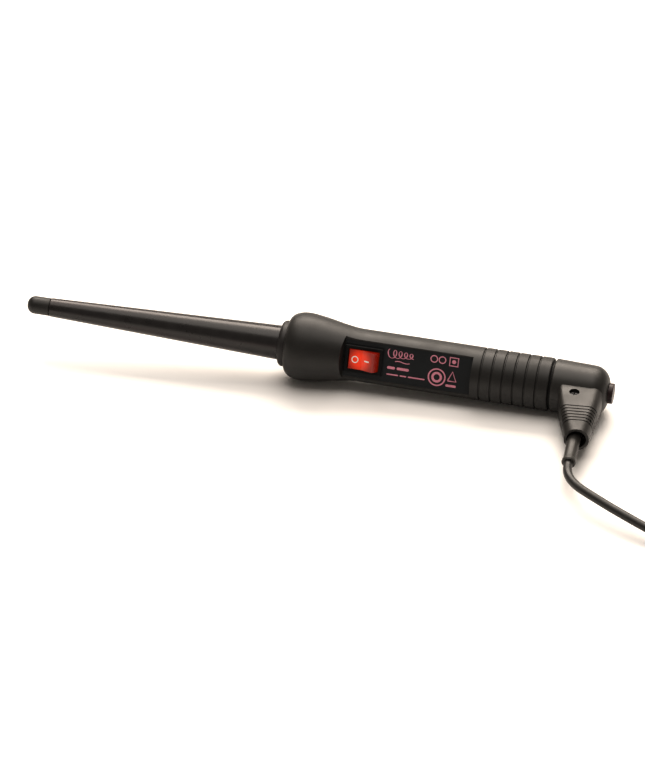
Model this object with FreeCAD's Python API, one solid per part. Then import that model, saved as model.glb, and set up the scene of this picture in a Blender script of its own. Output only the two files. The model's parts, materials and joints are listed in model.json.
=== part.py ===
import FreeCAD, Part
import math
import os

# A clampless conical curling wand with a swivel cord head, lying on a table.
# Everything is modelled about the wand's own axis: x is the station along it, from the tip's end,
# y is across it and z is up.  place() lays the finished pieces down on the table, in millimetres.

Vector = FreeCAD.Vector
X, Y, Z = Vector(1, 0, 0), Vector(0, 1, 0), Vector(0, 0, 1)

# Barrel and tip
TIP_END = 12.5
BARREL_START = 12.9
BARREL_END = 152.7
BARREL_TIP_R = 5.1
BARREL_TAPER = 0.0335
BARREL_WALL = 1.2
BARREL_FLANGE_R = 11.5
COLLAR_FRONT = 141.4
COLLAR_R = 12.5
COLLAR_FLANGE_R = 14.6
HOLDER_FRONT = 151.1
HOLDER_LENGTH = 13.4

# Handle
HANDLE_FRONT = 145.5
BULB_STATION = 155.0
BULB_R = 18.5
GRIP_START = 187.0
GRIP_R = 14.3
HANDLE_END = 290.0
HANDLE_WALL = 2.2
GROOVE_FIRST = 252.9
GROOVE_PITCH = 6.06
GROOVE_COUNT = 6
GROOVE_DEPTH = 0.8
SEAM_GAP = 0.12
SCREW_STATIONS = (171.0, 213.0, 244.0)

# Switch panel: a flat on the grip, turned about the wand's axis
PANEL_TURN = 70.0
PANEL_FLAT = 9.4
PANEL_FRONT = 178.2
PANEL_END = 247.9
PLATE_THICK = 1.2
PLATE_HALF_W = 10.0

# Rocker switch, about its own middle
SWITCH_STATION = 189.0
BEZEL_L, BEZEL_W, BEZEL_H = 21.0, 15.0, 1.2
BOX_L, BOX_W, BOX_DEPTH = 18.8, 12.6, 14.0
ROCKER_W = 10.6
ROCKER_TILT = 12.0
ROCKER_ARC_R = 8.3
ROCKER_PIVOT_DROP = 2.5
ROCKER_EDGE_ANGLE = 34.4
NOSE_REACH = 8.25
NOSE_R = 0.8

# Swivel head and side branch
HEAD_FRONT = 291.1
HEAD_END = 321.0
HEAD_ROUND = 9.2
HEAD_FRONT_R = 14.2
HEAD_REAR_R = 13.65
HEAD_WALL = 2.0
CORE_R = 6.0
RUNNING_GAP = 0.05
KNOB_R = 5.5
KNOB_END = 323.6
BRANCH_STATION = 306.1
BRANCH_LEAN = 7.2
MOUTH = 47.5
# distance from the wand's axis, half width, half height, front corner radius, rear corner radius
BRANCH_SECTIONS = (
    (0.0, 12.0, 8.9, 2.5, 5.0),
    (12.0, 11.7, 8.6, 2.5, 5.5),
    (27.0, 9.9, 7.7, 3.5, 5.5),
    (38.0, 8.1, 7.0, 5.0, 6.0),
    (MOUTH, 6.6, 6.6, 6.4, 6.4),
)
RIB_FIRST = 27.2
RIB_PITCH = 2.4
RIB_COUNT = 6
HEAD_SCREW_AT = (304.8, -16.0)

# Cord, in the frame of the finished part
CORD_D = 4.8
GUARD_R = 3.6
GUARD_START = 34.5
GUARD_LEAN = 2.4
GUARD_SHIFT = 0.35
GUARD_DROOP = 4.0
GUARD_END = 67.0

# Cord that is put away: a tied hank on the table, then a plug beside it
HANK_AT = (276.0, -73.3)
HANK_RUN = 96.0
HANK_RINGS = (14.4, 19.2)
HANK_LAYERS = 4
TIE_WIDTH = 8.0
TIE_THICK = 0.7
PLUG_X = 356.0
PLUG_Z = 6.85
PLUG_RELIEF = -56.0
PLUG_REAR = -34.0
PLUG_FRONT = 2.0
PIN_BARE = 12.0
PIN_END = 21.0
PIN_SPACING = 19.0

# Where the wand lies
TILT = math.degrees(math.atan((BULB_R - HEAD_REAR_R) / (HEAD_END - HEAD_ROUND - BULB_STATION)))
ORIGIN_STATION = 161.87
ORIGIN_Y = 24.19
AXIS_HEIGHT = 18.29


def save(shape, node):
    """Write one piece to its own file."""
    shape.exportStep("parts/" + node + ".step")


def place(shape):
    """Lay a piece that was modelled about the wand's axis down on the table."""
    made = shape.copy()
    made.translate(Vector(-ORIGIN_STATION, 0, 0))
    made.rotate(Vector(0, 0, 0), Y, TILT)
    made.translate(Vector(0, ORIGIN_Y, AXIS_HEIGHT))
    return made


def to_panel(shape):
    """Turn a piece that was modelled under a level panel round to the panel's side."""
    made = shape.copy()
    made.rotate(Vector(0, 0, 0), X, PANEL_TURN)
    return made


def ring_outline(edges):
    """Turn a closed list of edges, drawn as station and radius, round the wand's axis."""
    face = Part.Face(Part.Wire(edges))
    return face.revolve(Vector(0, 0, 0), X, 360)


def turned(points):
    """Turn a closed outline of (station, radius) points round the wand's axis."""
    corners = [Vector(x, 0, r) for x, r in points]
    return ring_outline(Part.makePolygon(corners + corners[:1]).Edges)


def line(a, b):
    return Part.LineSegment(Vector(a[0], 0, a[1]), Vector(b[0], 0, b[1])).toShape()


def arc(a, mid, b):
    return Part.Arc(Vector(a[0], 0, a[1]), Vector(mid[0], 0, mid[1]), Vector(b[0], 0, b[1])).toShape()


def corner_arc(cx, cr, radius, start, end):
    """A round corner about (cx, cr), between two angles measured from the rearward direction."""
    at = [math.radians(a) for a in (start, (start + end) / 2, end)]
    return arc(*[(cx + radius * math.cos(a), cr + radius * math.sin(a)) for a in at])


def rod(x0, x1, radius, y=0.0, z=0.0):
    return Part.makeCylinder(radius, x1 - x0, Vector(x0, y, z), X)


def tube(x0, x1, outer, inner):
    return rod(x0, x1, outer).cut(rod(x0 - 1, x1 + 1, inner))


def block(x, y, z):
    """A box between two limits along each axis."""
    return Part.makeBox(x[1] - x[0], y[1] - y[0], z[1] - z[0], Vector(x[0], y[0], z[0]))


def barrel_radius(x):
    return BARREL_TIP_R + BARREL_TAPER * (x - BARREL_START)


def cone_solid(x0, x1, offset):
    """A solid cone that runs with the barrel's taper, at a radius offset from its outside."""
    start, end = barrel_radius(x0) + offset, barrel_radius(x1) + offset
    return turned([(x0, 0), (x0, start), (x1, end), (x1, 0)])


# ---------------------------------------------------------------- barrel and heater


def cool_tip():
    radius, corner, seam_r, spigot_r, spigot_end = 4.87, 4.2, 4.3, 3.7, 25.0
    flat = radius - corner
    edges = [
        line((0, 0), (0, flat)),
        corner_arc(corner, flat, corner, 180, 90),
        line((corner, radius), (TIP_END, radius)),
        line((TIP_END, radius), (TIP_END, seam_r)),
        line((TIP_END, seam_r), (BARREL_START, seam_r)),
        line((BARREL_START, seam_r), (BARREL_START, spigot_r)),
        line((BARREL_START, spigot_r), (spigot_end, spigot_r)),
        line((spigot_end, spigot_r), (spigot_end, 0)),
        line((spigot_end, 0), (0, 0)),
    ]
    return ring_outline(edges)


def barrel():
    edge = 0.3
    flange_front = HOLDER_FRONT + 0.05
    outside = turned(
        [
            (BARREL_START, 0),
            (BARREL_START, BARREL_TIP_R - edge),
            (BARREL_START + edge, barrel_radius(BARREL_START + edge)),
            (flange_front, barrel_radius(flange_front)),
            (flange_front, BARREL_FLANGE_R),
            (BARREL_END, BARREL_FLANGE_R),
            (BARREL_END, 0),
        ]
    )
    return outside.cut(cone_solid(BARREL_START - 1, BARREL_END + 1, -BARREL_WALL))


def heater():
    """Two half-cone spreaders with a flat ceramic element between them."""
    front, rear, slot = 30.0, BARREL_END - 12.0, 0.85
    core = cone_solid(front, rear, -BARREL_WALL - 0.05)
    upper = core.common(block((0, 200), (-20, 20), (slot, 20)))
    lower = core.common(block((0, 200), (-20, 20), (-20, -slot)))
    element = block((front + 4, rear + 3), (-3, 3), (-0.8, 0.8))
    return upper, lower, element


def collar():
    bore, round_r = 0.15, 2.4
    step = HANDLE_FRONT + 4.0
    lip = barrel_radius(COLLAR_FRONT) + bore
    edges = [
        line((COLLAR_FRONT, lip), (COLLAR_FRONT, COLLAR_R - round_r)),
        corner_arc(COLLAR_FRONT + round_r, COLLAR_R - round_r, round_r, 180, 90),
        line((COLLAR_FRONT + round_r, COLLAR_R), (step, COLLAR_R)),
        line((step, COLLAR_R), (step, COLLAR_FLANGE_R)),
        line((step, COLLAR_FLANGE_R), (HOLDER_FRONT, COLLAR_FLANGE_R)),
        line((HOLDER_FRONT, COLLAR_FLANGE_R), (HOLDER_FRONT, barrel_radius(HOLDER_FRONT) + bore)),
        line((HOLDER_FRONT, barrel_radius(HOLDER_FRONT) + bore), (COLLAR_FRONT, lip)),
    ]
    return ring_outline(edges)


def barrel_holder():
    rear, outer, bore = HOLDER_FRONT + HOLDER_LENGTH, 13.2, 7.4
    seat = BARREL_END + 0.05
    return turned(
        [
            (HOLDER_FRONT, BARREL_FLANGE_R + 0.05),
            (HOLDER_FRONT, outer),
            (rear, outer),
            (rear, bore),
            (seat, bore),
            (seat, BARREL_FLANGE_R + 0.05),
        ]
    )


# ---------------------------------------------------------------- handle


def bulb_edges():
    """The bulb's outline: an elliptical shoulder, then a long curve down to the grip."""
    front_r = COLLAR_R + 0.9
    length, height = BULB_STATION - HANDLE_FRONT, BULB_R - front_r
    shoulder = Part.BSplineCurve()
    turns = [math.radians(a) for a in range(180, 89, -15)]
    shoulder.interpolate(
        [Vector(BULB_STATION + length * math.cos(a), 0, front_r + height * math.sin(a)) for a in turns]
    )
    rear = Part.BSplineCurve()
    knots = [(BULB_STATION, BULB_R), (161, 18.0), (168, 16.85), (175, 15.5), (181, 14.6), (GRIP_START, GRIP_R)]
    ends = [i in (0, len(knots) - 1) for i in range(len(knots))]
    rear.interpolate(Points=[Vector(x, 0, r) for x, r in knots], Tangents=[X] * len(knots), TangentFlags=ends)
    return [shoulder.toShape(), rear.toShape()]


def groove_edges(x):
    """One ring groove with soft lips, from front to rear."""
    lip, half = 0.6, 0.3
    top, soft, deep = GRIP_R, GRIP_R - 0.42, GRIP_R - GROOVE_DEPTH
    a, b = x - half - lip, x + half + lip
    bend = 0.707
    return [
        arc((a, top), (a + lip * bend, top - 0.42 * (1 - bend)), (x - half, soft)),
        line((x - half, soft), (x - half, deep)),
        line((x - half, deep), (x + half, deep)),
        line((x + half, deep), (x + half, soft)),
        arc((x + half, soft), (b - lip * bend, top - 0.42 * (1 - bend)), (b, top)),
    ]


def handle_outside():
    round_r = 0.9
    edges = [line((HANDLE_FRONT, 0), (HANDLE_FRONT, COLLAR_R + 0.9))] + bulb_edges()
    at = GRIP_START
    for i in range(GROOVE_COUNT):
        groove = groove_edges(GROOVE_FIRST + i * GROOVE_PITCH)
        start = groove[0].Vertexes[0].Point
        edges.append(line((at, GRIP_R), (start.x, start.z)))
        edges += groove
        at = groove[-1].Vertexes[-1].Point.x
    edges.append(line((at, GRIP_R), (HANDLE_END - round_r, GRIP_R)))
    edges.append(corner_arc(HANDLE_END - round_r, GRIP_R - round_r, round_r, 90, 0))
    edges.append(line((HANDLE_END, GRIP_R - round_r), (HANDLE_END, 0)))
    edges.append(line((HANDLE_END, 0), (HANDLE_FRONT, 0)))
    return ring_outline(Part.__sortEdges__(edges))


def handle_cavity():
    """The hollow inside: a seat for the collar's flange, the holder's room and the long grip space."""
    front = HANDLE_FRONT + 4.0
    holder_rear = HOLDER_FRONT + HOLDER_LENGTH + 0.05
    flange = rod(front - 0.05, HOLDER_FRONT + 0.05, COLLAR_FLANGE_R + 0.05)
    holder = rod(HOLDER_FRONT, holder_rear, 13.25)
    grip = rod(holder_rear + 2.2, HANDLE_END - 4.0, GRIP_R - HANDLE_WALL)
    passage = rod(holder_rear - 1, holder_rear + 3, 9.0)
    room = flange.fuse(holder).fuse(grip).fuse(passage)
    above_plate = block((PANEL_FRONT - 6, PANEL_END + 4), (-20, 20), (PANEL_FLAT - PLATE_THICK - 1.6, 30))
    return room.cut(to_panel(above_plate))


def handle_screw_boss(x):
    """A post through both shells; the screw's hole and counterbore are cut from it."""
    return Part.makeCylinder(3.3, 21.5, Vector(x, 0, -13.2), Z)


def handle_screw(x):
    head_bottom = -11.0 if x > GRIP_START else -13.0
    head_h, head_r, shank_r, length = 1.7, 2.5, 1.3, 16.0
    head = Part.makeCylinder(head_r, head_h, Vector(x, 0, head_bottom - head_h), Z)
    shank = Part.makeCylinder(shank_r, length, Vector(x, 0, head_bottom - 0.01), Z)
    slot_a = block((x - 1.5, x + 1.5), (-0.3, 0.3), (head_bottom - head_h - 1, head_bottom - head_h + 0.8))
    slot_b = block((x - 0.3, x + 0.3), (-1.5, 1.5), (head_bottom - head_h - 1, head_bottom - head_h + 0.8))
    hole = Part.makeCylinder(head_r + 0.15, 12, Vector(x, 0, head_bottom - 12), Z)
    return head.fuse(shank).cut(slot_a).cut(slot_b), hole


def handle_shells():
    """The two halves of the handle, with posts, and the screws that join them."""
    whole = handle_outside()
    hollow = handle_cavity()
    opening = rod(HANDLE_FRONT - 1, HANDLE_FRONT + 5, COLLAR_R + 0.05)
    bush_seat = rod(HANDLE_END - 5, HANDLE_END + 1, 8.05)
    front_slope = 2.7
    flat_cut = Part.Face(
        Part.makePolygon(
            [
                Vector(PANEL_FRONT, -20, PANEL_FLAT),
                Vector(PANEL_FRONT - front_slope, -20, PANEL_FLAT + 10),
                Vector(PANEL_END, -20, PANEL_FLAT + 10),
                Vector(PANEL_END, -20, PANEL_FLAT),
                Vector(PANEL_FRONT, -20, PANEL_FLAT),
            ]
        )
    ).extrude(Vector(0, 40, 0))
    pocket = block(
        (PANEL_FRONT + 0.2, PANEL_END - 0.2),
        (-PLATE_HALF_W - 0.1, PLATE_HALF_W + 0.1),
        (PANEL_FLAT - PLATE_THICK, PANEL_FLAT + 1),
    )
    window = block(
        (SWITCH_STATION - BOX_L / 2 - 0.1, SWITCH_STATION + BOX_L / 2 + 0.1),
        (-BOX_W / 2 - 0.1, BOX_W / 2 + 0.1),
        (0, PANEL_FLAT + 1),
    )
    shell = whole.cut(hollow)
    posts = [to_panel(handle_screw_boss(x)) for x in SCREW_STATIONS]
    posts = [post.common(whole) for post in posts]
    for post in posts:
        shell = shell.fuse(post)
    for tool in (opening, bush_seat, to_panel(flat_cut), to_panel(pocket), to_panel(window)):
        shell = shell.cut(tool)
    screws = []
    for x in SCREW_STATIONS:
        screw, hole = handle_screw(x)
        shell = shell.cut(to_panel(hole)).cut(to_panel(screw))
        screws.append(to_panel(screw))
    big = 40
    upper = to_panel(block((100, 330), (-big, big), (SEAM_GAP / 2, big)))
    lower = to_panel(block((100, 330), (-big, big), (-big, -SEAM_GAP / 2)))
    return shell.common(upper), shell.common(lower), Part.makeCompound(screws)


# ---------------------------------------------------------------- switch


def switch_plate():
    plate = block(
        (PANEL_FRONT + 0.3, PANEL_END - 0.3),
        (-PLATE_HALF_W, PLATE_HALF_W),
        (PANEL_FLAT - PLATE_THICK + 0.02, PANEL_FLAT),
    )
    window = block(
        (SWITCH_STATION - BOX_L / 2 - 0.1, SWITCH_STATION + BOX_L / 2 + 0.1),
        (-BOX_W / 2 - 0.1, BOX_W / 2 + 0.1),
        (0, 20),
    )
    return plate.cut(window)


def terminals():
    """Three blades that stand through the switch's floor."""
    floor = PANEL_FLAT - BOX_DEPTH
    cradle = rocker_pivot_z() - cradle_radii()[1]
    tops = ((-6.0, floor + 1.8), (0.0, cradle - 0.02), (6.4, floor + 1.6))
    return [block((x - 0.4, x + 0.4), (-2.3, 2.3), (floor - 5.6, top)) for x, top in tops]


def rocker_pivot_z():
    return PANEL_FLAT + BEZEL_H - ROCKER_PIVOT_DROP


def switch_housing():
    top = PANEL_FLAT + BEZEL_H
    bezel = block((-BEZEL_L / 2, BEZEL_L / 2), (-BEZEL_W / 2, BEZEL_W / 2), (PANEL_FLAT + 0.02, top))
    rim = [e for e in bezel.Edges if e.BoundBox.ZMin > top - 0.01]
    bezel = bezel.makeChamfer(0.45, rim)
    box = block((-BOX_L / 2, BOX_L / 2), (-BOX_W / 2, BOX_W / 2), (PANEL_FLAT - BOX_DEPTH, PANEL_FLAT + 0.1))
    well = block((-8.5, 8.5), (-ROCKER_W / 2 - 0.2, ROCKER_W / 2 + 0.2), (PANEL_FLAT - BOX_DEPTH + 1.5, top + 1))
    body = bezel.fuse(box).cut(well)
    pins = Part.makeCylinder(1.06, ROCKER_W + 1.5, Vector(0, -ROCKER_W / 2 - 0.75, rocker_pivot_z()), Y)
    body = body.cut(pins)
    for blade in terminals():
        body = body.cut(blade)
    return body


def rocker_outline(radius, drop):
    """The rocker's side view in its middle position, about its pivot: a shallow V on two arcs."""
    high, low = math.radians(ROCKER_EDGE_ANGLE), math.radians(-14)
    pivot = rocker_pivot_z()

    def at(angle):
        return Vector(radius * math.cos(angle), 0, pivot + radius * math.sin(angle) - (drop if angle > 0 else 0))

    def mirror(p):
        return Vector(-p.x, 0, p.z)

    bend = Vector(0, 0, PANEL_FLAT + BEZEL_H + 0.9 - drop)
    mid = at(high / 4)
    return Part.Wire(
        [
            Part.LineSegment(mirror(at(high)), bend).toShape(),
            Part.LineSegment(bend, at(high)).toShape(),
            Part.Arc(at(high), Vector(mid.x, 0, mid.z), at(low)).toShape(),
            Part.LineSegment(at(low), mirror(at(low))).toShape(),
            Part.Arc(mirror(at(low)), mirror(mid), mirror(at(high))).toShape(),
        ]
    )


def rocker():
    """A hollow rocker with a stem for the plunger, tilted to its off position."""
    pivot = rocker_pivot_z()
    body = Part.Face(rocker_outline(ROCKER_ARC_R, 0.0)).extrude(Vector(0, ROCKER_W, 0))
    body.translate(Vector(0, -ROCKER_W / 2, 0))
    inner_w = ROCKER_W - 2.4
    hollow = block((-6.2, 6.2), (-inner_w / 2, inner_w / 2), (0, PANEL_FLAT + BEZEL_H - 0.6))
    body = body.cut(hollow)
    stem = block((-1.9, 1.9), (-inner_w / 2 - 0.1, inner_w / 2 + 0.1), (3.6, PANEL_FLAT + BEZEL_H))
    body = body.fuse(stem)
    body = body.cut(Part.makeCylinder(1.05, 5.0, Vector(0, 0, 3.0), Z))
    trunnion = Part.makeCylinder(1.0, ROCKER_W + 1.2, Vector(0, -ROCKER_W / 2 - 0.6, pivot), Y)
    ends = trunnion.cut(block((-5, 5), (-ROCKER_W / 2 + 0.5, ROCKER_W / 2 - 0.5), (-20, 30)))
    return tilted(body.fuse(ends))


def tilted(shape):
    """Turn a piece of the rocker from the middle to the off position."""
    shape.rotate(Vector(0, 0, rocker_pivot_z()), Y, -ROCKER_TILT)
    return shape


def rocker_plunger():
    """A sprung pin in the stem; its round nose runs along the contact cradle."""
    nose_z = rocker_pivot_z() - NOSE_REACH
    pin = Part.makeCylinder(1.0, 6.6, Vector(0, 0, nose_z + 0.9), Z)
    neck = Part.makeCylinder(NOSE_R, 1.0, Vector(0, 0, nose_z), Z)
    return tilted(pin.fuse(neck).fuse(Part.makeSphere(NOSE_R, Vector(0, 0, nose_z))))


def indicator_lamp():
    lamp = Part.makeCylinder(1.3, 6.4, Vector(4.1, -3.2, 8.2), Y)
    return tilted(lamp)


def cradle_radii():
    return NOSE_REACH + NOSE_R + 0.04, NOSE_REACH + NOSE_R + 0.5


def contact_cradle():
    """A curved strip on the middle blade, concentric with the rocker's pivot."""
    inner, outer = cradle_radii()
    base = Vector(0, -1.9, rocker_pivot_z())
    strip = Part.makeCylinder(outer, 3.8, base, Y).cut(Part.makeCylinder(inner, 3.8, base, Y))
    return strip.common(block((-4.8, 4.8), (-3, 3), (-5, 2)))


# ---------------------------------------------------------------- wires


def round_path(points):
    """Straight runs joined by tangent arcs; each arc is as large as its two runs allow."""
    points = [Vector(*p) for p in points]
    edges, radii, at = [], [], points[0]
    for before, corner, after in zip(points, points[1:], points[2:]):
        back, ahead = (before - corner), (after - corner)
        run = min(back.Length, ahead.Length)
        back.normalize()
        ahead.normalize()
        turn = math.pi - math.acos(max(-1.0, min(1.0, back.dot(ahead))))
        reach = 0.45 * run
        radius = reach / math.tan(turn / 2)
        radii.append(radius)
        start, end = corner + back * reach, corner + ahead * reach
        half = (back + ahead)
        half.normalize()
        centre = corner + half * math.hypot(radius, reach)
        edges.append(Part.LineSegment(at, start).toShape())
        edges.append(Part.Arc(start, centre - half * radius, end).toShape())
        at = end
    edges.append(Part.LineSegment(at, points[-1]).toShape())
    return Part.Wire(edges), radii


def swept(points, diameter):
    """A round tube along such a path, with its length, radii and share of section times length."""
    path, radii = round_path(points)
    start = Vector(*points[0])
    heading = Vector(*points[1]) - start
    section = Part.Wire(Part.makeCircle(diameter / 2, start, heading))
    made = path.makePipeShell([section], True, False)
    share = made.Volume / (math.pi * diameter**2 / 4 * path.Length)
    print("tube", diameter, "length", round(path.Length, 1), "share", round(share, 4))
    print("  radii", [round(r, 1) for r in radii])
    return made


def lead_wires():
    """Three insulated wires along the back of the grip, from the swivel's contacts forward."""
    wire = 1.5
    low = -9.3
    live = [(268.0, -5.4, low + 2.6), (256.0, -5.8, low + 2.0), (228.0, -5.2, low + 0.6)]
    live += [(207.0, -5.0, low + 1.2), (196.0, -4.4, low + 1.8)]
    switched = [(182.0, -3.4, low + 2.2), (176.5, -5.6, low + 3.0), (169.5, -4.9, low + 5.0)]
    switched += [(161.5, -4.2, -2.8), (148.5, -3.4, -1.2)]
    neutral = [(268.0, 5.4, low + 2.6), (252.0, 5.9, low + 1.8), (222.0, 5.2, low + 0.5)]
    neutral += [(195.0, 5.8, low + 1.4), (172.5, 5.0, low + 4.6), (161.5, 4.2, -2.8), (148.5, 3.4, -1.2)]
    return Part.makeCompound([to_panel(swept(p, wire)) for p in (live, switched, neutral)])


def thermal_fuse():
    front = BARREL_END - 9.5
    return rod(front, front + 8.0, 1.3, 0.0, 3.4).fuse(rod(front - 2.0, front + 11.0, 0.4, 0.0, 3.4))


# ---------------------------------------------------------------- swivel


def bearing_bush():
    bore = CORE_R + RUNNING_GAP
    seat = tube(HANDLE_END - 4.0, HANDLE_END, 8.0, bore)
    lip = tube(HANDLE_END - 5.0, HANDLE_END - 4.0, 8.9, bore)
    return seat.fuse(lip)


def thrust_washer():
    return tube(HANDLE_END + 0.1, HEAD_FRONT, 12.7, CORE_R + 0.02)


RINGS = ((HANDLE_END - 18.4, HANDLE_END - 14.4), (HANDLE_END - 11.4, HANDLE_END - 7.4))
RING_R = 6.6


def slip_ring(limits):
    return tube(limits[0], limits[1], RING_R, 5.0)


def swivel_core():
    """A hollow spindle: the slip rings sit in its grooves and its rear flange is held in the head."""
    bore = 2.7
    nose = HANDLE_END - 20.4
    key = (HEAD_FRONT + 2.2, HEAD_FRONT + 4.6)
    spindle = rod(nose, HEAD_FRONT + 5.4, CORE_R)
    stop = rod(HANDLE_END - 6.6, HANDLE_END - 5.2, 8.4)
    front = rod(nose, nose + 1.2, 6.4)
    flange = block(key, (-8.2, 8.2), (-8.2, 8.2)).common(rod(key[0], key[1], 10.4))
    core = spindle.fuse(stop).fuse(front).fuse(flange)
    for ring in RINGS:
        core = core.cut(tube(ring[0], ring[1], 9, 5.0))
    return core.cut(rod(260, 300, bore))


def brush_springs():
    """Four leaf springs, one above and one below each slip ring."""
    reach = 8.9
    gap, thick = RING_R + 0.08, 0.35
    leaves = []
    for ring in RINGS:
        along = (ring[0] + 0.5, ring[1] - 0.5)
        for low, high in ((gap, gap + thick), (-gap - thick, -gap)):
            leaves.append(to_panel(block(along, (-reach, reach), (low, high))))
    return leaves


def brush_holder():
    ring = tube(HANDLE_END - 20.6, HANDLE_END - 6.8, GRIP_R - HANDLE_WALL - 0.05, 8.8)
    for leaf in brush_springs():
        ring = ring.cut(leaf)
    return ring


# ---------------------------------------------------------------- head and branch


def branch_frame(shape):
    """Move a piece modelled along -Y from the origin to the branch's place and lean."""
    made = shape.copy()
    made.rotate(Vector(0, 0, 0), Z, BRANCH_LEAN)
    made.translate(Vector(BRANCH_STATION, 0, 0))
    return made


def branch_wire(t, half_w, half_h, front_r, rear_r):
    """A rounded rectangle across the branch, with its own radius at the front and rear corners."""
    bend = 1 - math.sqrt(0.5)
    corners = []
    for sx, sz, r in ((-1, -1, front_r), (1, -1, rear_r), (1, 1, rear_r), (-1, 1, front_r)):
        r = min(r, half_w - 0.15, half_h - 0.15)
        cx, cz = sx * half_w, sz * half_h
        ends = [(cx - sx * r, cz), (cx - sx * r * bend, cz - sz * r * bend), (cx, cz - sz * r)]
        corners.append(ends if sx * sz < 0 else ends[::-1])
    edges = []
    for here, after in zip(corners, corners[1:] + corners[:1]):
        a, m, b = [Vector(x, -t, z) for x, z in here]
        edges.append(Part.Arc(a, m, b).toShape())
        edges.append(Part.LineSegment(b, Vector(after[0][0], -t, after[0][1])).toShape())
    return Part.Wire(edges)


def branch_loft(inset, end):
    sections = []
    for t, half_w, half_h, front_r, rear_r in BRANCH_SECTIONS:
        t = min(t, end)
        radii = [max(r - inset, 0.6) for r in (front_r, rear_r)]
        sections.append(branch_wire(t, half_w - inset, half_h - inset, *radii))
    return branch_frame(Part.makeLoft(sections, True, False))


def head_outside():
    front_round = 0.9
    edges = [
        line((HEAD_FRONT, 0), (HEAD_FRONT, HEAD_FRONT_R - front_round)),
        corner_arc(HEAD_FRONT + front_round, HEAD_FRONT_R - front_round, front_round, 180, 90),
        line((HEAD_FRONT + front_round, HEAD_FRONT_R), (HEAD_END - HEAD_ROUND, HEAD_REAR_R)),
        corner_arc(HEAD_END - HEAD_ROUND, HEAD_REAR_R - HEAD_ROUND, HEAD_ROUND, 90, 0),
        line((HEAD_END, HEAD_REAR_R - HEAD_ROUND), (HEAD_END, 0)),
        line((HEAD_END, 0), (HEAD_FRONT, 0)),
    ]
    return ring_outline(edges)


def rib_cutters():
    """Fine grooves round the branch, each a thin slice less a slightly smaller branch."""
    skin = branch_loft(0.0, MOUTH)
    inside = branch_loft(0.45, MOUTH)
    cuts = []
    for i in range(RIB_COUNT):
        t = RIB_FIRST + i * RIB_PITCH
        slab = branch_frame(block((-16, 16), (-t - 0.35, -t + 0.35), (-3.4, 16)))
        cuts.append(skin.common(slab).cut(inside))
    return cuts


def head_screw():
    x, y = HEAD_SCREW_AT
    seat, head_h, head_r = 5.2, 1.8, 2.45
    head = Part.makeCylinder(head_r, head_h, Vector(x, y, seat), Z)
    shank = Part.makeCylinder(1.3, 11.0, Vector(x, y, seat - 11.0), Z)
    slot_a = block((x - 1.5, x + 1.5), (y - 0.3, y + 0.3), (seat + head_h - 0.8, seat + head_h + 1))
    slot_b = block((x - 0.3, x + 0.3), (y - 1.5, y + 1.5), (seat + head_h - 0.8, seat + head_h + 1))
    hole = Part.makeCylinder(2.75, 9, Vector(x, y, seat), Z)
    return head.fuse(shank).cut(slot_a).cut(slot_b), hole


def head_shells():
    """The two halves of the head, parted on the plane of the wand's axis and the branch."""
    skin = head_outside().fuse(branch_loft(0.0, MOUTH).common(block((280, 340), (-80, 0), (-20, 20))))
    rear = HEAD_END - HEAD_WALL
    screw, hole = head_screw()
    x, y = HEAD_SCREW_AT
    post = Part.makeCylinder(3.6, 20, Vector(x, y, -10), Z).common(skin)
    shell = skin.cut(rod(HEAD_FRONT + HEAD_WALL, rear - 5, HEAD_REAR_R - HEAD_WALL)).cut(rod(rear - 5.5, rear, 7.0))
    shell = shell.cut(branch_frame(block((-6.8, 6.8), (-38.0, -2.0), (-5.4, 5.4)))).fuse(post)
    tools = [
        hole,
        screw,
        branch_frame(Part.makeCylinder(5.2, 12, Vector(0, -41.0, 0), Vector(0, -1, 0))),
        branch_frame(Part.makeCylinder(GUARD_R + 0.7, 8, Vector(0, -36.0, 0), Vector(0, -1, 0))),
        rod(HEAD_FRONT - 5, HEAD_FRONT + 4, CORE_R + 0.05),
        rod(HEAD_END - 6, HEAD_END + 2, 3.05),
    ]
    for tool in tools + rib_cutters():
        shell = shell.cut(tool)
    shell = shell.cut(swivel_core())
    over = block((280, 340), (-90, 40), (SEAM_GAP / 2, 40))
    under = block((280, 340), (-90, 40), (-40, -SEAM_GAP / 2))
    return shell.common(over), shell.common(under), screw


def end_knob():
    edge = 0.5
    disc = rod(HEAD_END, KNOB_END, KNOB_R)
    disc = disc.makeFillet(edge, [e for e in disc.Edges if e.BoundBox.XMin > KNOB_END - 0.01])
    stem = rod(HEAD_END - 2.1, HEAD_END + 0.1, 3.0)
    stop = rod(HEAD_END - 3.4, HEAD_END - 2.1, 4.4)
    return disc.fuse(stem).fuse(stop)


def direction(lean, droop):
    """A unit vector that leaves the head sideways, leaning to the rear and drooping, in degrees."""
    a, d = math.radians(lean), math.radians(droop)
    return Vector(math.sin(a) * math.cos(d), -math.cos(a) * math.cos(d), -math.sin(d))


def guard_axis():
    base = Vector(BRANCH_STATION - GUARD_SHIFT, 0, 0) + direction(BRANCH_LEAN, 0) * 37.0
    return base, direction(GUARD_LEAN, GUARD_DROOP)


def spun(profile, base, out):
    """A closed (radius, distance) outline spun about the line that leaves base along out."""
    wire = Part.makePolygon([Vector(r, 0, t) for r, t in profile + profile[:1]])
    made = Part.Face(wire).revolve(Vector(0, 0, 0), Z, 360)
    made.Placement = FreeCAD.Placement(base, FreeCAD.Rotation(Z, out))
    return made


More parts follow.
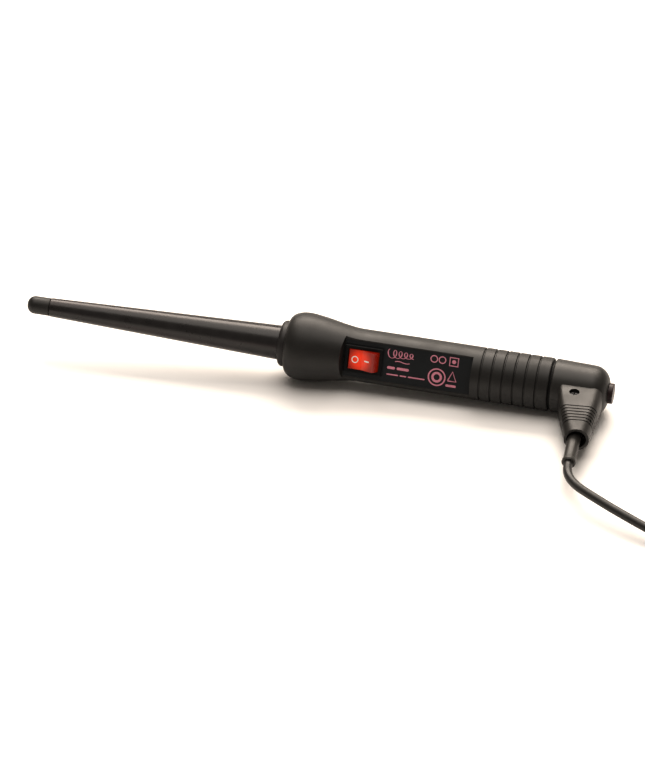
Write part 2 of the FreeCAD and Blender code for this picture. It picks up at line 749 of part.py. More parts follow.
def cord_guard():
    """A soft sleeve with a flange behind the branch's web and a lip at its end."""
    base, out = guard_axis()
    flange = branch_frame(Part.makeCylinder(5.0, 2.4, Vector(0, -GUARD_START, 0), Vector(0, -1, 0)))
    inner = branch_frame(Part.makeCylinder(GUARD_R, 3.6, Vector(0, -GUARD_START, 0), Vector(0, -1, 0)))
    tip = GUARD_END - 37.0
    thin = GUARD_R - 0.25
    lip = [(thin, tip - 3.2), (thin + 0.3, tip - 2.3), (thin + 0.4, tip - 0.8), (thin, tip)]
    sleeve = spun([(0, 0), (GUARD_R, 0), (GUARD_R, 4)] + lip + [(0, tip)], base, out)
    return flange.fuse(inner).fuse(sleeve)


def cord_clamp():
    bar = branch_frame(block((-6.75, 6.75), (-29.5, -25.5), (-5.4, -2.6)))
    return bar


def cord_cores():
    """The cord's two inner wires, from the guard through the spindle to the slip rings."""
    wires = []
    for side in (-1, 1):
        y = side * 1.2
        points = [(310.6 + side * 1.5, -33.6, 0.0), (311.2 + side * 1.2, -25.0, 0.4), (311.3 + side * 1.2, -16.5, 0.8)]
        points += [(308.6 + side * 0.6, -8.6, 0.8), (303.6, -3.2 + y / 2, 0.5), (298.0, -0.2 + y, 0.1)]
        points += [(288.0, y, 0.2), (273.0, y, 0.0)]
        wires.append(swept(points, 1.7))
    return Part.makeCompound(wires)


def cord_tube():
    """The stretch from the sleeve to the hank, drooping to the table."""
    base, out = guard_axis()
    exit_at = base + out * (GUARD_END - 37.0)
    start, ahead = [place(Part.Vertex(v)).Point for v in (exit_at, exit_at + out * 6.0)]
    route = [
        tuple(start),
        tuple(ahead),
        (152.0, -54.3, 10.7),
        (155.2, -59.6, 10.4),
        (159.9, -64.1, 10.0),
        (170.0, -70.4, 9.2),
        (182.2, -77.6, 8.2),
        (197.8, -84.5, 6.4),
        (212.0, -89.4, 4.3),
        (224.0, -91.9, 3.0),
        (234.0, -92.5, 2.45),
    ]
    return swept(route, CORD_D)


def hank_ends(radius, low, high):
    x, y = HANK_AT
    ends = [Part.makeCylinder(radius, high - low, Vector(x + s * HANK_RUN / 2, y, low), Z) for s in (-1, 1)]
    return ends[0].fuse(ends[1])


def hank_middle(end_half, waist_half, low, high):
    """The part between the end loops, drawn in to a waist under the tie."""
    x, y = HANK_AT
    half = HANK_RUN / 2
    side = [(-half, end_half), (-36, end_half - 1.6), (-14, waist_half + 0.9), (-8, waist_half)]
    side += [(-dx, dy) for dx, dy in side[::-1]]
    outline = side + [(dx, -dy) for dx, dy in side[::-1]]
    wire = Part.makePolygon([Vector(x + dx, y + dy, low) for dx, dy in outline + outline[:1]])
    return Part.Face(wire).extrude(Vector(0, 0, high - low))


def hank_and_tie():
    """The hank's turns as one solid, open inside its two end loops, and the strap round its waist."""
    x, y = HANK_AT
    top = HANK_LAYERS * CORD_D + 0.1
    outer = HANK_RINGS[-1] + CORD_D / 2 + 0.1
    inner = HANK_RINGS[0] - CORD_D / 2
    waist = 2 * CORD_D + 0.1
    hank = hank_ends(outer, 0.0, top).fuse(hank_middle(outer, waist, 0.0, top))
    for s in (-1, 1):
        loop = Part.makeCylinder(inner, top + 2, Vector(x + s * HANK_RUN / 2, y, -1), Z)
        tips = [(x + s * (HANK_RUN / 2 - 4), y - inner + 0.7), (x + s * 14, y), (x + s * (HANK_RUN / 2 - 4), y + inner - 0.7)]
        wedge = Part.Face(Part.makePolygon([Vector(px, py, -1) for px, py in tips + tips[:1]]))
        hank = hank.cut(loop).cut(wedge.extrude(Vector(0, 0, top + 2)))
    x0, x1 = x - TIE_WIDTH / 2, x + TIE_WIDTH / 2
    half = waist + TIE_THICK / 2
    strap = block((x0, x1), (y - half, y + half), (0, top + TIE_THICK / 2))
    hole = block((x0 - 1, x1 + 1), (y - half + TIE_THICK, y + half - TIE_THICK), (TIE_THICK, top - TIE_THICK / 2))
    tie = strap.cut(hole)
    return hank.cut(tie), tie


def free_part(tube, *others):
    """What is left of a tube outside its neighbours."""
    left = tube
    for other in others:
        left = left.cut(other)
    return max(left.Solids, key=lambda piece: piece.Volume)


def along_y(x, y0, y1, radius):
    return Part.makeCylinder(radius, y1 - y0, Vector(x, y0, PLUG_Z), Y)


def plug_pins():
    """Two round pins with bare tips, and the insulating sleeves on their thinner shanks."""
    pins, sleeves = [], []
    for side in (-1, 1):
        x = PLUG_X + side * PIN_SPACING / 2
        tip = along_y(x, PIN_BARE, PIN_END, 2.0)
        tip = tip.makeFillet(1.2, [e for e in tip.Edges if e.BoundBox.YMin > PIN_END - 0.01])
        shank = along_y(x, PLUG_FRONT - 4, PIN_BARE, 1.3)
        pins.append(tip.fuse(shank))
        sleeves.append(along_y(x, PLUG_FRONT, PIN_BARE, 1.8).cut(shank))
    return Part.makeCompound(pins), Part.makeCompound(sleeves)


def plug_body(pins):
    """A flat two-pin body that narrows to a tapered strain relief."""
    sections = []
    for y, half_w, half_h, cut in (
        (PLUG_FRONT, 17.65, 6.8, 4.5),
        (PLUG_FRONT - 22, 17.2, 6.8, 4.5),
        (PLUG_REAR, 8.0, 5.6, 3.0),
    ):
        corners = [(half_w - cut, half_h), (half_w, half_h - cut), (half_w, cut - half_h), (half_w - cut, -half_h)]
        corners += [(-dx, -dz) for dx, dz in corners]
        points = [Vector(PLUG_X + dx, y, PLUG_Z + dz) for dx, dz in corners]
        sections.append(Part.makePolygon(points + points[:1]))
    body = Part.makeLoft(sections, True, True)
    relief = Part.makeCone(3.1, 4.6, PLUG_REAR - PLUG_RELIEF, Vector(PLUG_X, PLUG_RELIEF, PLUG_Z), Y)
    return body.fuse(relief).cut(pins)


def cord_tail():
    """The stretch from the top of the hank round to the plug."""
    route = [
        (314.0, -92.5, 16.8),
        (335.5, -92.5, 15.9),
        (348.5, -85.0, 12.2),
        (PLUG_X, -72.0, 8.4),
        (PLUG_X, PLUG_RELIEF, PLUG_Z),
    ]
    return swept(route, CORD_D)


def main():
    os.makedirs("parts", exist_ok=True)
    upper, lower, element = heater()
    front, back, screws = handle_shells()
    top, bottom, head_bolt = head_shells()
    at_switch = Vector(SWITCH_STATION, 0, 0)

    def switch_piece(shape):
        shape.translate(at_switch)
        return to_panel(shape)

    pieces = {
        "cool_tip": cool_tip(),
        "barrel": barrel(),
        "heat_spreader_upper": upper,
        "heat_spreader_lower": lower,
        "heater_element": element,
        "thermal_fuse": thermal_fuse(),
        "collar": collar(),
        "barrel_holder": barrel_holder(),
        "handle_front_shell": front,
        "handle_back_shell": back,
        "handle_screws": screws,
        "switch_plate": to_panel(switch_plate()),
        "switch_housing": switch_piece(switch_housing()),
        "switch_terminals": switch_piece(Part.makeCompound(terminals())),
        "rocker": switch_piece(rocker()),
        "rocker_plunger": switch_piece(rocker_plunger()),
        "indicator_lamp": switch_piece(indicator_lamp()),
        "contact_cradle": switch_piece(contact_cradle()),
        "lead_wires": lead_wires(),
        "bearing_bush": bearing_bush(),
        "brush_holder": brush_holder(),
        "contact_springs": Part.makeCompound(brush_springs()),
        "thrust_washer": thrust_washer(),
        "swivel_core": swivel_core(),
        "slip_ring_live": slip_ring(RINGS[0]),
        "slip_ring_neutral": slip_ring(RINGS[1]),
        "swivel_head_top": top,
        "swivel_head_bottom": bottom,
        "head_screw": head_bolt,
        "end_knob": end_knob(),
        "cord_guard": cord_guard(),
        "cord_clamp": cord_clamp(),
        "cord_cores": cord_cores(),
    }
    for node, shape in pieces.items():
        save(place(shape), node)
    hank, tie = hank_and_tie()
    pins, sleeves = plug_pins()
    plug = plug_body(pins)
    save(free_part(cord_tube(), hank), "power_cord")
    save(hank, "cord_hank")
    save(tie, "cord_tie")
    save(free_part(cord_tail(), hank, plug), "cord_tail")
    save(plug, "plug_body")
    save(pins, "plug_pins")
    save(sleeves, "pin_sleeves")


main()
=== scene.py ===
import bpy
import bmesh
import json
import math
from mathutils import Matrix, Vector


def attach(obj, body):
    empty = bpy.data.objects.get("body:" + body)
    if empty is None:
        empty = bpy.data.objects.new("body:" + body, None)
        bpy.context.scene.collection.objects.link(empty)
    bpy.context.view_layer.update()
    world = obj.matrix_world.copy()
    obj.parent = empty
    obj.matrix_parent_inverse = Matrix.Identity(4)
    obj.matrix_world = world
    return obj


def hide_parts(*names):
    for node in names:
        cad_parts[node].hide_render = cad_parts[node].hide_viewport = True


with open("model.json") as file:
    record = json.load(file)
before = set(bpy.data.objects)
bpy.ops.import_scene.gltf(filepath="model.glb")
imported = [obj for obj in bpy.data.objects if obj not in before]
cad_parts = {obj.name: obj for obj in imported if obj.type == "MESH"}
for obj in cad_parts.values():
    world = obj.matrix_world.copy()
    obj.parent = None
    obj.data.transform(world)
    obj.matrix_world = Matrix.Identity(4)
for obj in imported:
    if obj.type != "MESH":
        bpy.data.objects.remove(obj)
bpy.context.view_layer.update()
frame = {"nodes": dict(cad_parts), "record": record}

MM = 0.001
nodes = frame["nodes"]
joints = {joint["name"]: joint for joint in frame["record"]["behaviour"]["joints"]}


def added(name, data):
    """A new object with this data, linked into the scene."""
    made = bpy.data.objects.new(name, data)
    bpy.context.scene.collection.objects.link(made)
    return made


def finished_mesh(name, mesh, finish):
    """Mesh data in one material, from an editing mesh that is no longer needed."""
    data = bpy.data.meshes.new(name)
    mesh.to_mesh(data)
    mesh.free()
    data.materials.append(finish)
    return data


# ---------------------------------------------------------------- camera

AZIMUTH, ELEVATION = math.radians(13.0), math.radians(34.0)
DISTANCE = 2.6
TARGET = Vector((0.00801, 0.00049, 0.01001))
LENS = 226.1
NEAR_CLIP, FAR_CLIP = 0.1, 30

camera_data = bpy.data.cameras.new("camera")
camera_data.lens = LENS
camera_data.clip_start = NEAR_CLIP
camera_data.clip_end = FAR_CLIP
camera = added("camera", camera_data)
towards = Vector(
    (
        math.sin(AZIMUTH) * math.cos(ELEVATION),
        -math.cos(AZIMUTH) * math.cos(ELEVATION),
        math.sin(ELEVATION),
    )
)
camera.location = TARGET + towards * DISTANCE
camera.rotation_euler = towards.to_track_quat("Z", "Y").to_euler()
bpy.context.scene.camera = camera

# ---------------------------------------------------------------- materials

NOISE_LOW, NOISE_HIGH = 0.3, 0.7
GLOSS_SPREAD = 0.12
MIX_SHARE, MIX_UNDER, MIX_OVER, MIX_RESULT = 0, 6, 7, 2


def material(name, color, rough, spread=0.15, mottle=60.0, grain=900.0, bump=0.08, depth=0.00012, **sockets):
    """A moulded or drawn surface: mottled colour, uneven gloss and a fine grain."""
    made = bpy.data.materials.new(name)
    made.use_nodes = True
    tree = made.node_tree
    new, link = tree.nodes.new, tree.links.new
    shader = tree.nodes["Principled BSDF"]
    where = new("ShaderNodeTexCoord")
    patches = new("ShaderNodeTexNoise")
    patches.inputs["Scale"].default_value = mottle
    patches.inputs["Detail"].default_value = 5
    link(where.outputs["Object"], patches.inputs["Vector"])
    tint = new("ShaderNodeValToRGB")
    dark, light = tint.color_ramp.elements
    dark.position, light.position = NOISE_LOW, NOISE_HIGH
    dark.color = [c * (1 - spread) for c in color] + [1]
    light.color = [min(1, c * (1 + spread)) for c in color] + [1]
    link(patches.outputs["Fac"], tint.inputs["Fac"])
    link(tint.outputs["Color"], shader.inputs["Base Color"])
    gloss = new("ShaderNodeMapRange")
    gloss.inputs["From Min"].default_value = NOISE_LOW
    gloss.inputs["From Max"].default_value = NOISE_HIGH
    gloss.inputs["To Min"].default_value = max(0.03, rough * (1 - GLOSS_SPREAD))
    gloss.inputs["To Max"].default_value = min(1, rough * (1 + GLOSS_SPREAD))
    link(patches.outputs["Fac"], gloss.inputs["Value"])
    link(gloss.outputs["Result"], shader.inputs["Roughness"])
    fine = new("ShaderNodeTexNoise")
    fine.inputs["Scale"].default_value = grain
    fine.inputs["Detail"].default_value = 3
    link(where.outputs["Object"], fine.inputs["Vector"])
    raised = new("ShaderNodeBump")
    raised.inputs["Strength"].default_value = bump
    raised.inputs["Distance"].default_value = depth
    link(fine.outputs["Fac"], raised.inputs["Height"])
    link(raised.outputs["Normal"], shader.inputs["Normal"])
    for socket, value in sockets.items():
        shader.inputs[socket.replace("_", " ")].default_value = value
    return made


def mixed_in(made, share, color):
    """Mixes a colour into the material's own, by the share that a socket gives."""
    tree = made.node_tree
    base = tree.nodes["Principled BSDF"].inputs["Base Color"]
    under = base.links[0].from_socket
    mix = tree.nodes.new("ShaderNodeMix")
    mix.data_type = "RGBA"
    mix.inputs[MIX_OVER].default_value = (*color, 1)
    tree.links.new(share, mix.inputs[MIX_SHARE])
    tree.links.new(under, mix.inputs[MIX_UNDER])
    tree.links.new(mix.outputs[MIX_RESULT], base)
    return made


def streaked(made, color, share):
    """Adds faint lengthwise bands, as a sprayed and polished coating has."""
    tree = made.node_tree
    new, link = tree.nodes.new, tree.links.new
    where = new("ShaderNodeTexCoord")
    stretch = new("ShaderNodeMapping")
    stretch.inputs["Scale"].default_value = (0.6, 190.0, 190.0)
    link(where.outputs["Object"], stretch.inputs["Vector"])
    bands = new("ShaderNodeTexNoise")
    bands.inputs["Scale"].default_value = 1.0
    bands.inputs["Detail"].default_value = 2
    link(stretch.outputs["Vector"], bands.inputs["Vector"])
    ramp = new("ShaderNodeValToRGB")
    clear, full = ramp.color_ramp.elements
    clear.position, full.position = 0.45, 0.68
    clear.color = (0, 0, 0, 1)
    full.color = (share, share, share, 1)
    link(bands.outputs["Fac"], ramp.inputs["Fac"])
    return mixed_in(made, ramp.outputs["Color"], color)


def with_painted_edge_shade(made, centre, near, far, color):
    """Paints shade into the colour with distance from a point, as a translucent moulding looks shaded at its
    thick edges.
    """
    tree = made.node_tree
    new, link = tree.nodes.new, tree.links.new
    where = new("ShaderNodeTexCoord")
    away = new("ShaderNodeVectorMath")
    away.operation = "DISTANCE"
    away.inputs[1].default_value = centre
    link(where.outputs["Object"], away.inputs[0])
    share = new("ShaderNodeMapRange")
    share.interpolation_type = "SMOOTHSTEP"
    share.inputs["From Min"].default_value = near
    share.inputs["From Max"].default_value = far
    link(away.outputs["Value"], share.inputs["Value"])
    return mixed_in(made, share.outputs["Result"], color)


def woven(name, color, pitch):
    """A narrow woven strap: two crossed sets of threads."""
    made = material(name, color, 0.85, grain=2500.0)
    tree = made.node_tree
    new, link = tree.nodes.new, tree.links.new
    where = new("ShaderNodeTexCoord")
    both = new("ShaderNodeMath")
    both.operation = "MAXIMUM"
    for direction, socket in zip(("X", "Z"), both.inputs):
        threads = new("ShaderNodeTexWave")
        threads.bands_direction = direction
        threads.inputs["Scale"].default_value = 1 / pitch / 3
        link(where.outputs["Object"], threads.inputs["Vector"])
        link(threads.outputs["Fac"], socket)
    raised = new("ShaderNodeBump")
    raised.inputs["Strength"].default_value = 0.6
    raised.inputs["Distance"].default_value = 0.0003
    link(both.outputs["Value"], raised.inputs["Height"])
    link(raised.outputs["Normal"], tree.nodes["Principled BSDF"].inputs["Normal"])
    return made


SOFT = dict(spread=0.1, mottle=90, grain=2600, bump=0.1, depth=0.00006)
COARSE = dict(spread=0.15, mottle=150, grain=2200, bump=0.12)
NYLON = dict(spread=0.1, mottle=150, grain=1500, bump=0.12)
METAL = dict(mottle=200, grain=1500, Metallic=1.0)
SMOOTH = dict(spread=0.05, mottle=200, grain=1500)

soft_touch = material("soft_touch", (0.0125, 0.0118, 0.0108), 0.5, **SOFT, Specular_IOR_Level=0.42)
head_black = material("head_black", (0.015, 0.014, 0.0125), 0.48, **SOFT, Specular_IOR_Level=0.48)
plain_coating = material(
    "barrel_coating",
    (0.018, 0.0165, 0.0165),
    0.29,
    spread=0.2,
    mottle=120,
    grain=3000,
    bump=0.02,
    depth=0.00003,
    Specular_IOR_Level=0.4,
)
coating = streaked(plain_coating, (0.04, 0.024, 0.026), share=0.6)
tip_black = material("tip_black", (0.016, 0.0155, 0.0145), 0.5, **COARSE, Specular_IOR_Level=0.4)
heat_black = material("heat_black", (0.014, 0.0125, 0.012), 0.5, **COARSE, Specular_IOR_Level=0.42)
panel_black = material(
    "panel_black",
    (0.0068, 0.0088, 0.0108),
    0.42,
    spread=0.12,
    mottle=80,
    grain=2400,
    bump=0.05,
    depth=0.00005,
    Specular_IOR_Level=0.3,
)
switch_black = material(
    "switch_black",
    (0.005, 0.0055, 0.006),
    0.5,
    spread=0.12,
    mottle=150,
    grain=2400,
    bump=0.06,
    depth=0.00005,
    Specular_IOR_Level=0.15,
)
# The rocker is no lamp: its small emission is a painted glow.
red_with_painted_glow = material(
    "rocker_red",
    (0.85, 0.05, 0.012),
    0.24,
    spread=0.1,
    mottle=140,
    grain=1800,
    bump=0.03,
    depth=0.00004,
    Coat_Weight=0.4,
    Coat_Roughness=0.1,
    Subsurface_Weight=0.1,
    Emission_Color=(1.0, 0.06, 0.01, 1),
    Emission_Strength=0.1,
)
# Painted shade: the rocker's red darkens towards its edges, away from a point near its middle.
rocker_red = with_painted_edge_shade(
    red_with_painted_glow,
    centre=tuple(Vector(joints["rocker_tilt"]["pos_m"]) + Vector((-0.0015, -0.003, 0.001))),
    near=0.0025,
    far=0.0082,
    color=(0.14, 0.003, 0.002),
)
cord_black = material(
    "cord_black", (0.016, 0.0155, 0.014), 0.46, spread=0.15, mottle=200, grain=3000, bump=0.12, depth=0.00006
)
guard_grey = material(
    "guard_grey", (0.03, 0.028, 0.025), 0.48, spread=0.12, mottle=160, grain=2600, bump=0.12, depth=0.00006
)
plug_black = material("plug_black", (0.022, 0.022, 0.021), 0.45, mottle=120, grain=2000, bump=0.2)
aluminium = material("aluminium", (0.72, 0.72, 0.73), 0.34, spread=0.06, bump=0.1, **METAL)
steel = material("steel", (0.5, 0.5, 0.52), 0.3, spread=0.08, bump=0.1, **METAL)
dark_steel = material(
    "dark_steel", (0.05, 0.05, 0.052), 0.4, spread=0.1, mottle=300, grain=1500, bump=0.1, Metallic=0.9
)
brass = material("brass", (0.78, 0.6, 0.28), 0.26, spread=0.08, bump=0.08, **METAL)
nickel = material("nickel", (0.75, 0.73, 0.68), 0.2, spread=0.05, bump=0.05, **METAL)
ceramic = material("ceramic", (0.8, 0.78, 0.72), 0.6, spread=0.05, mottle=200, grain=1200, bump=0.15)
acetal = material("acetal", (0.8, 0.79, 0.74), 0.4, spread=0.04, mottle=150, grain=1500, bump=0.06)
grey_nylon = material("grey_nylon", (0.14, 0.14, 0.15), 0.5, **NYLON)
# Painted shade: the thrust washer is made near black so the gap between handle and swivel head shows as
# shaded.
gap_shade_nylon = material("gap_shade_nylon", (0.006, 0.006, 0.006), 0.6, **NYLON, Specular_IOR_Level=0.2)
knob_black = material(
    "knob_black", (0.02, 0.009, 0.01), 0.42, mottle=150, grain=2200, bump=0.1, Specular_IOR_Level=0.35
)
wire_sleeve = material("wire_sleeve", (0.7, 0.68, 0.62), 0.45, **SMOOTH, bump=0.06)
lamp_glass = material("lamp_glass", (0.95, 0.5, 0.3), 0.08, **SMOOTH, bump=0.02, Transmission_Weight=0.8)
strap = woven("strap", (0.02, 0.02, 0.022), pitch=0.0009)
print_pink = material("print_pink", (0.56, 0.22, 0.29), 0.5, spread=0.12, mottle=900, grain=3000, bump=0.05)
print_white = material("print_white", (0.85, 0.8, 0.76), 0.4, spread=0.05, mottle=400, grain=3000, bump=0.05)

FINISH = {
    "cool_tip": tip_black,
    "barrel": coating,
    "heat_spreader_upper": aluminium,
    "heat_spreader_lower": aluminium,
    "heater_element": ceramic,
    "thermal_fuse": aluminium,
    "collar": heat_black,
    "barrel_holder": grey_nylon,
    "handle_front_shell": soft_touch,
    "handle_back_shell": soft_touch,
    "handle_screws": dark_steel,
    "switch_plate": panel_black,
    "switch_housing": switch_black,
    "switch_terminals": brass,
    "rocker": rocker_red,
    "rocker_plunger": steel,
    "indicator_lamp": lamp_glass,
    "contact_cradle": brass,
    "lead_wires": wire_sleeve,
    "bearing_bush": acetal,
    "brush_holder": grey_nylon,
    "contact_springs": steel,
    "thrust_washer": gap_shade_nylon,
    "swivel_core": grey_nylon,
    "slip_ring_live": brass,
    "slip_ring_neutral": brass,
    "swivel_head_top": head_black,
    "swivel_head_bottom": head_black,
    "head_screw": dark_steel,
    "end_knob": knob_black,
    "cord_guard": guard_grey,
    "cord_clamp": grey_nylon,
    "cord_cores": wire_sleeve,
    "cord_tie": strap,
    "plug_body": plug_black,
    "plug_pins": nickel,
    "pin_sleeves": plug_black,
}
for node, finish in FINISH.items():
    for held in nodes[node].material_slots:
        held.material = finish

# ---------------------------------------------------------------- cord

CORD_D = 4.8
EXIT = (149.634, -42.419, 11.568)
FROM_SLEEVE = [
    EXIT,
    (149.8, -46.6, 11.27),
    (151.3, -52.1, 10.9),
    (154.6, -57.1, 10.5),
    (159.7, -61.5, 10.0),
    (168.6, -67.0, 9.3),
    (180.0, -73.9, 8.4),
    (196.8, -82.6, 6.7),
    (210.5, -88.2, 4.8),
    (220.5, -91.3, 3.2),
]
TO_PLUG = [
    (335.5, -92.5, 15.9),
    (348.5, -85.0, 12.2),
    (356.0, -72.0, 8.4),
    (356.0, -56.0, 6.85),
]
HANK_X, HANK_Y = 276.0, -73.3
HALF_RUN, SMALL_RING, RING_STEP = 48.0, 14.4, 4.8
RING_SWELL = 1.017
WAIST = 2.35
TIE_REACH = 10
LOOSE_LOWEST, LOOSE_STEP = 2.45, 4.8
TIED_LOWEST, TIED_STEP = 3.1, 4.5
RINGS = (1, 0, 0, 1, 1, 0, 0, 1)
LAYERS = (0, 0, 1, 1, 2, 2, 3, 3)
TURNS = len(RINGS)
SHIFT_POINTS = 3
RUN = (-48, -34, -18, 0, 18, 34, 48)
FOLD = (-67.5, -45, -22.5, 0, 22.5, 45, 67.5)
LOOP = (
    [("near", x) for x in RUN]
    + [("right", angle) for angle in FOLD]
    + [("far", -x) for x in RUN]
    + [("left", 180 + angle) for angle in FOLD]
)


def hank_point(kind, at, ring, layer):
    """A point of one turn: the runs draw in to a waist under the tie, the end loops are round."""
    if kind in ("near", "far"):
        share = min(1.0, abs(at) / HALF_RUN)
        open_by = share * share * (3 - 2 * share)
        across = WAIST + (SMALL_RING - WAIST) * open_by + ring * RING_STEP
        x, y = at, -across if kind == "near" else across
    else:
        radius = (SMALL_RING + ring * RING_STEP) * RING_SWELL
        angle = math.radians(at)
        side = HALF_RUN if kind == "right" else -HALF_RUN
        x, y = side + radius * math.cos(angle), radius * math.sin(angle)
    pinch = math.exp(-((x / TIE_REACH) ** 2))
    loose = LOOSE_LOWEST + LOOSE_STEP * layer
    tied = TIED_LOWEST + TIED_STEP * layer
    return (HANK_X + x, HANK_Y + y, loose + (tied - loose) * pinch)


def hank_route():
    """All turns; each slides to the next turn's place a little before the turn below it does."""
    points = []
    for turn in range(TURNS):
        after = min(turn + 1, TURNS - 1)
        begins = 1 + (TURNS - 2 - turn) * SHIFT_POINTS
        for i, (kind, at) in enumerate(LOOP if turn < TURNS - 1 else LOOP[: len(RUN)]):
            moved = min(1.0, max(0.0, (i - begins) / SHIFT_POINTS))
            ring = RINGS[turn] + (RINGS[after] - RINGS[turn]) * moved
            layer = LAYERS[turn] + (LAYERS[after] - LAYERS[turn]) * moved
            points.append(hank_point(kind, at, ring, layer))
    return points


def cord_curve(name, points, diameter, finish):
    """A round cord, with closed ends, along a smooth curve that the points guide."""
    data = bpy.data.curves.new(name, "CURVE")
    data.dimensions = "3D"
    data.bevel_depth = diameter * MM / 2
    data.bevel_resolution = 6
    data.resolution_u = 8
    data.use_fill_caps = True
    spline = data.splines.new("NURBS")
    spline.points.add(len(points) - 1)
    for place, point in zip(spline.points, points):
        place.co = (*[c * MM for c in point], 1)
    spline.order_u = 3
    spline.use_endpoint_u = True
    data.materials.append(finish)
    return added(name, data)


mains_cord = cord_curve("mains_cord", FROM_SLEEVE + hank_route() + TO_PLUG, CORD_D, cord_black)
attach(mains_cord, "swivel_head")
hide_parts("power_cord", "cord_hank", "cord_tail")

# ---------------------------------------------------------------- printed marks


def flat_marks(name, origin, along, up, shapes, body, finish):
    """Thin printed shapes: each is an outline in millimetres on one plane, seen from along x up."""
    mesh = bmesh.new()
    for outline in shapes:
        mesh.faces.new([mesh.verts.new(origin + along * (u * MM) + up * (v * MM)) for u, v in outline])
    bmesh.ops.recalc_face_normals(mesh, faces=mesh.faces)
    data = finished_mesh(name, mesh, finish)
    if data.polygons[0].normal.dot(along.cross(up)) < 0:
        data.flip_normals()
    made = added(name, data)
    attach(made, body)
    return made


def strip(points, widths):
    """A ribbon of quads along points, as wide at each as widths says."""
    sides = []
    for i, (x, y) in enumerate(points):
        ax, ay = points[max(0, i - 1)]
        bx, by = points[min(len(points) - 1, i + 1)]
        length = math.hypot(bx - ax, by - ay)
        nx, ny = -(by - ay) / length, (bx - ax) / length
        half = widths[i] / 2
        sides.append(((x + nx * half, y + ny * half), (x - nx * half, y - ny * half)))
    return [[a[0], a[1], b[1], b[0]] for a, b in zip(sides, sides[1:])]


def round_points(cx, cy, radius, count):
    """Points on a circle, and the first one again at the end."""
    turns = [2 * math.pi * i / count for i in range(count + 1)]
    return [(cx + radius * math.cos(a), cy + radius * math.sin(a)) for a in turns]


def ring(cx, cy, radius, width, count=48):
    return strip(round_points(cx, cy, radius, count), [width] * (count + 1))


def disc(cx, cy, radius, count=40):
    return [round_points(cx, cy, radius, count)[:-1]]


def bar(x0, x1, y, height):
    """A plain bar with round ends."""
    r = height / 2
    turns = [math.pi * i / 8 for i in range(9)]
    right = [(x1 - r + r * math.sin(a), y - r * math.cos(a)) for a in turns]
    left = [(x0 + r - r * math.sin(a), y + r * math.cos(a)) for a in turns]
    return [right + left]


def frame_of(x0, x1, y0, y1, width):
    """A rectangular frame, as four mitred sides."""
    outer = [(x0, y0), (x1, y0), (x1, y1), (x0, y1)]
    inner = [
        (x0 + width, y0 + width),
        (x1 - width, y0 + width),
        (x1 - width, y1 - width),
        (x0 + width, y1 - width),
    ]
    return [[outer[i], outer[(i + 1) % 4], inner[(i + 1) % 4], inner[i]] for i in range(4)]


def curl(start, base, count=90):
    """A line of shrinking loops, thinner where it turns back."""
    steps = [i / count for i in range(count + 1)]
    points, widths = [], []
    for t in steps:
        phase = 9 * math.pi * t
        x = start + 13.4 * t - 1.5 * math.sin(phase)
        points.append((x, base + (2.5 - 1.2 * t) * math.cos(phase)))
        widths.append(0.34 + 0.3 * math.sin(phase) ** 2)
    return strip(points, widths)


def flourish(start, base, count=15):
    """One flat wave."""
    steps = [i / count for i in range(count + 1)]
    points = [(start + 8 * t, base + 0.35 * math.sin(2 * math.pi * t)) for t in steps]
    return strip(points, [0.5] * len(points))


def panel_shapes():
    """Plain shapes where the panel is printed: stations from the tip, and heights over its middle."""
    shapes = curl(202.6, 5.7) + flourish(206, 1.7)
    for x0, x1 in ((202, 206.4), (207.2, 214)):
        shapes += bar(x0, x1, -2.0, 1.5)
    for x0, x1 in ((202, 208.5), (209.3, 213), (213.8, 223)):
        shapes += bar(x0, x1, -5.7, 0.75)
    for radius, width in ((4.5, 0.8), (2.3, 1.3)):
        shapes += ring(229.3, -3.3, radius, width)
    for centre in (226.9, 231.4):
        shapes += ring(centre, 6.5, 1.8, 0.6)
    shapes += frame_of(235.2, 240.3, 3.8, 8.9, 0.55) + disc(237.75, 6.35, 1.1)
    shapes += strip([(235.3, -4.4), (237.6, 0.9), (239.9, -4.4), (235.3, -4.4)], [0.7] * 4)
    return shapes + bar(234.4, 240.2, -7.0, 1.3)


ALONG = Vector(joints["cord_swivel"]["axis"]).normalized()
UP = Vector(joints["rocker_tilt"]["axis"]).normalized()
OUT = ALONG.cross(UP)
PIVOT = Vector(joints["rocker_tilt"]["pos_m"])
SWITCH_STATION = 189.0
PANEL_FACE = 1.3
PRINT_LIFT = 0.03
TILT = math.radians(-12)
BEND_HEIGHT = 3.4
EDGE_R, EDGE_ANGLE = 8.3, math.radians(34.4)

flat_marks(
    "panel_marks",
    PIVOT + OUT * (PANEL_FACE + PRINT_LIFT) * MM - ALONG * (SWITCH_STATION * MM),
    ALONG,
    UP,
    panel_shapes(),
    "handle",
    print_pink,
)


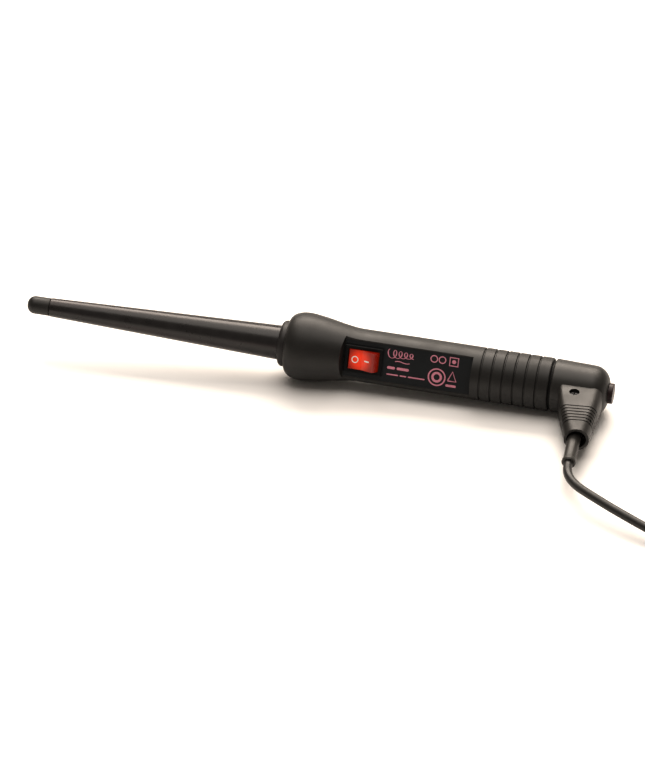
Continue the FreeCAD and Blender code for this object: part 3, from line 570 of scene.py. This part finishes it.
def from_pivot(x, z):
    """A point of the rocker's side view, drawn untilted about its pivot, as it lies at rest."""
    along = x * math.cos(TILT) + z * math.sin(TILT)
    out = z * math.cos(TILT) - x * math.sin(TILT)
    return PIVOT + (ALONG * along + OUT * out) * MM


def on_rocker(name, side, distance, shapes):
    """Marks on one of the rocker's two flats, a distance from the bend between them."""
    bend = from_pivot(0.0, BEND_HEIGHT)
    edge = from_pivot(side * EDGE_R * math.cos(EDGE_ANGLE), EDGE_R * math.sin(EDGE_ANGLE))
    along = (edge - bend).normalized() * side
    lift = along.cross(UP).normalized() * PRINT_LIFT * MM
    origin = bend + along * (side * distance * MM) + lift
    return flat_marks(name, origin, along, UP, shapes, "rocker", print_white)


on_rocker("rocker_mark_off", -1, 3.7, ring(0, 0, 1.65, 0.55))
on_rocker("rocker_mark_on", 1, 3.1, bar(-1.5, 1.5, 0, 0.85))

# ---------------------------------------------------------------- table and light

TABLE_HALF = 3.0
table_mesh = bmesh.new()
bmesh.ops.create_grid(table_mesh, x_segments=4, y_segments=4, size=TABLE_HALF)
table_white = material(
    "table_white", (0.9, 0.89, 0.88), 0.6, spread=0.01, mottle=3, grain=40, bump=0.02
)
table = added("table", finished_mesh("table", table_mesh, table_white))


def area_light(name, location, size, power, color):
    """A rectangular light that faces the middle of the table."""
    data = bpy.data.lights.new(name, "AREA")
    data.shape = "RECTANGLE"
    data.size, data.size_y = size
    data.energy = power
    data.color = color
    made = added(name, data)
    made.location = location
    made.rotation_euler = Vector(location).to_track_quat("Z", "Y").to_euler()
    return made


area_light("back", (-0.1, 1.15, 1.15), (1.7, 0.8), 38, (1.0, 0.9, 0.8))
area_light("overhead", (0.0, 0.1, 1.7), (1.6, 1.6), 22, (1.0, 0.93, 0.86))

world = bpy.data.worlds.new("world")
world.use_nodes = True
background = world.node_tree.nodes["Background"]
background.inputs["Color"].default_value = (1.0, 0.9, 0.8, 1)
background.inputs["Strength"].default_value = 0.22
bpy.context.scene.world = world
view = bpy.context.scene.view_settings
view.view_transform = "Standard"
view.exposure = 0.3
view.gamma = 0.84
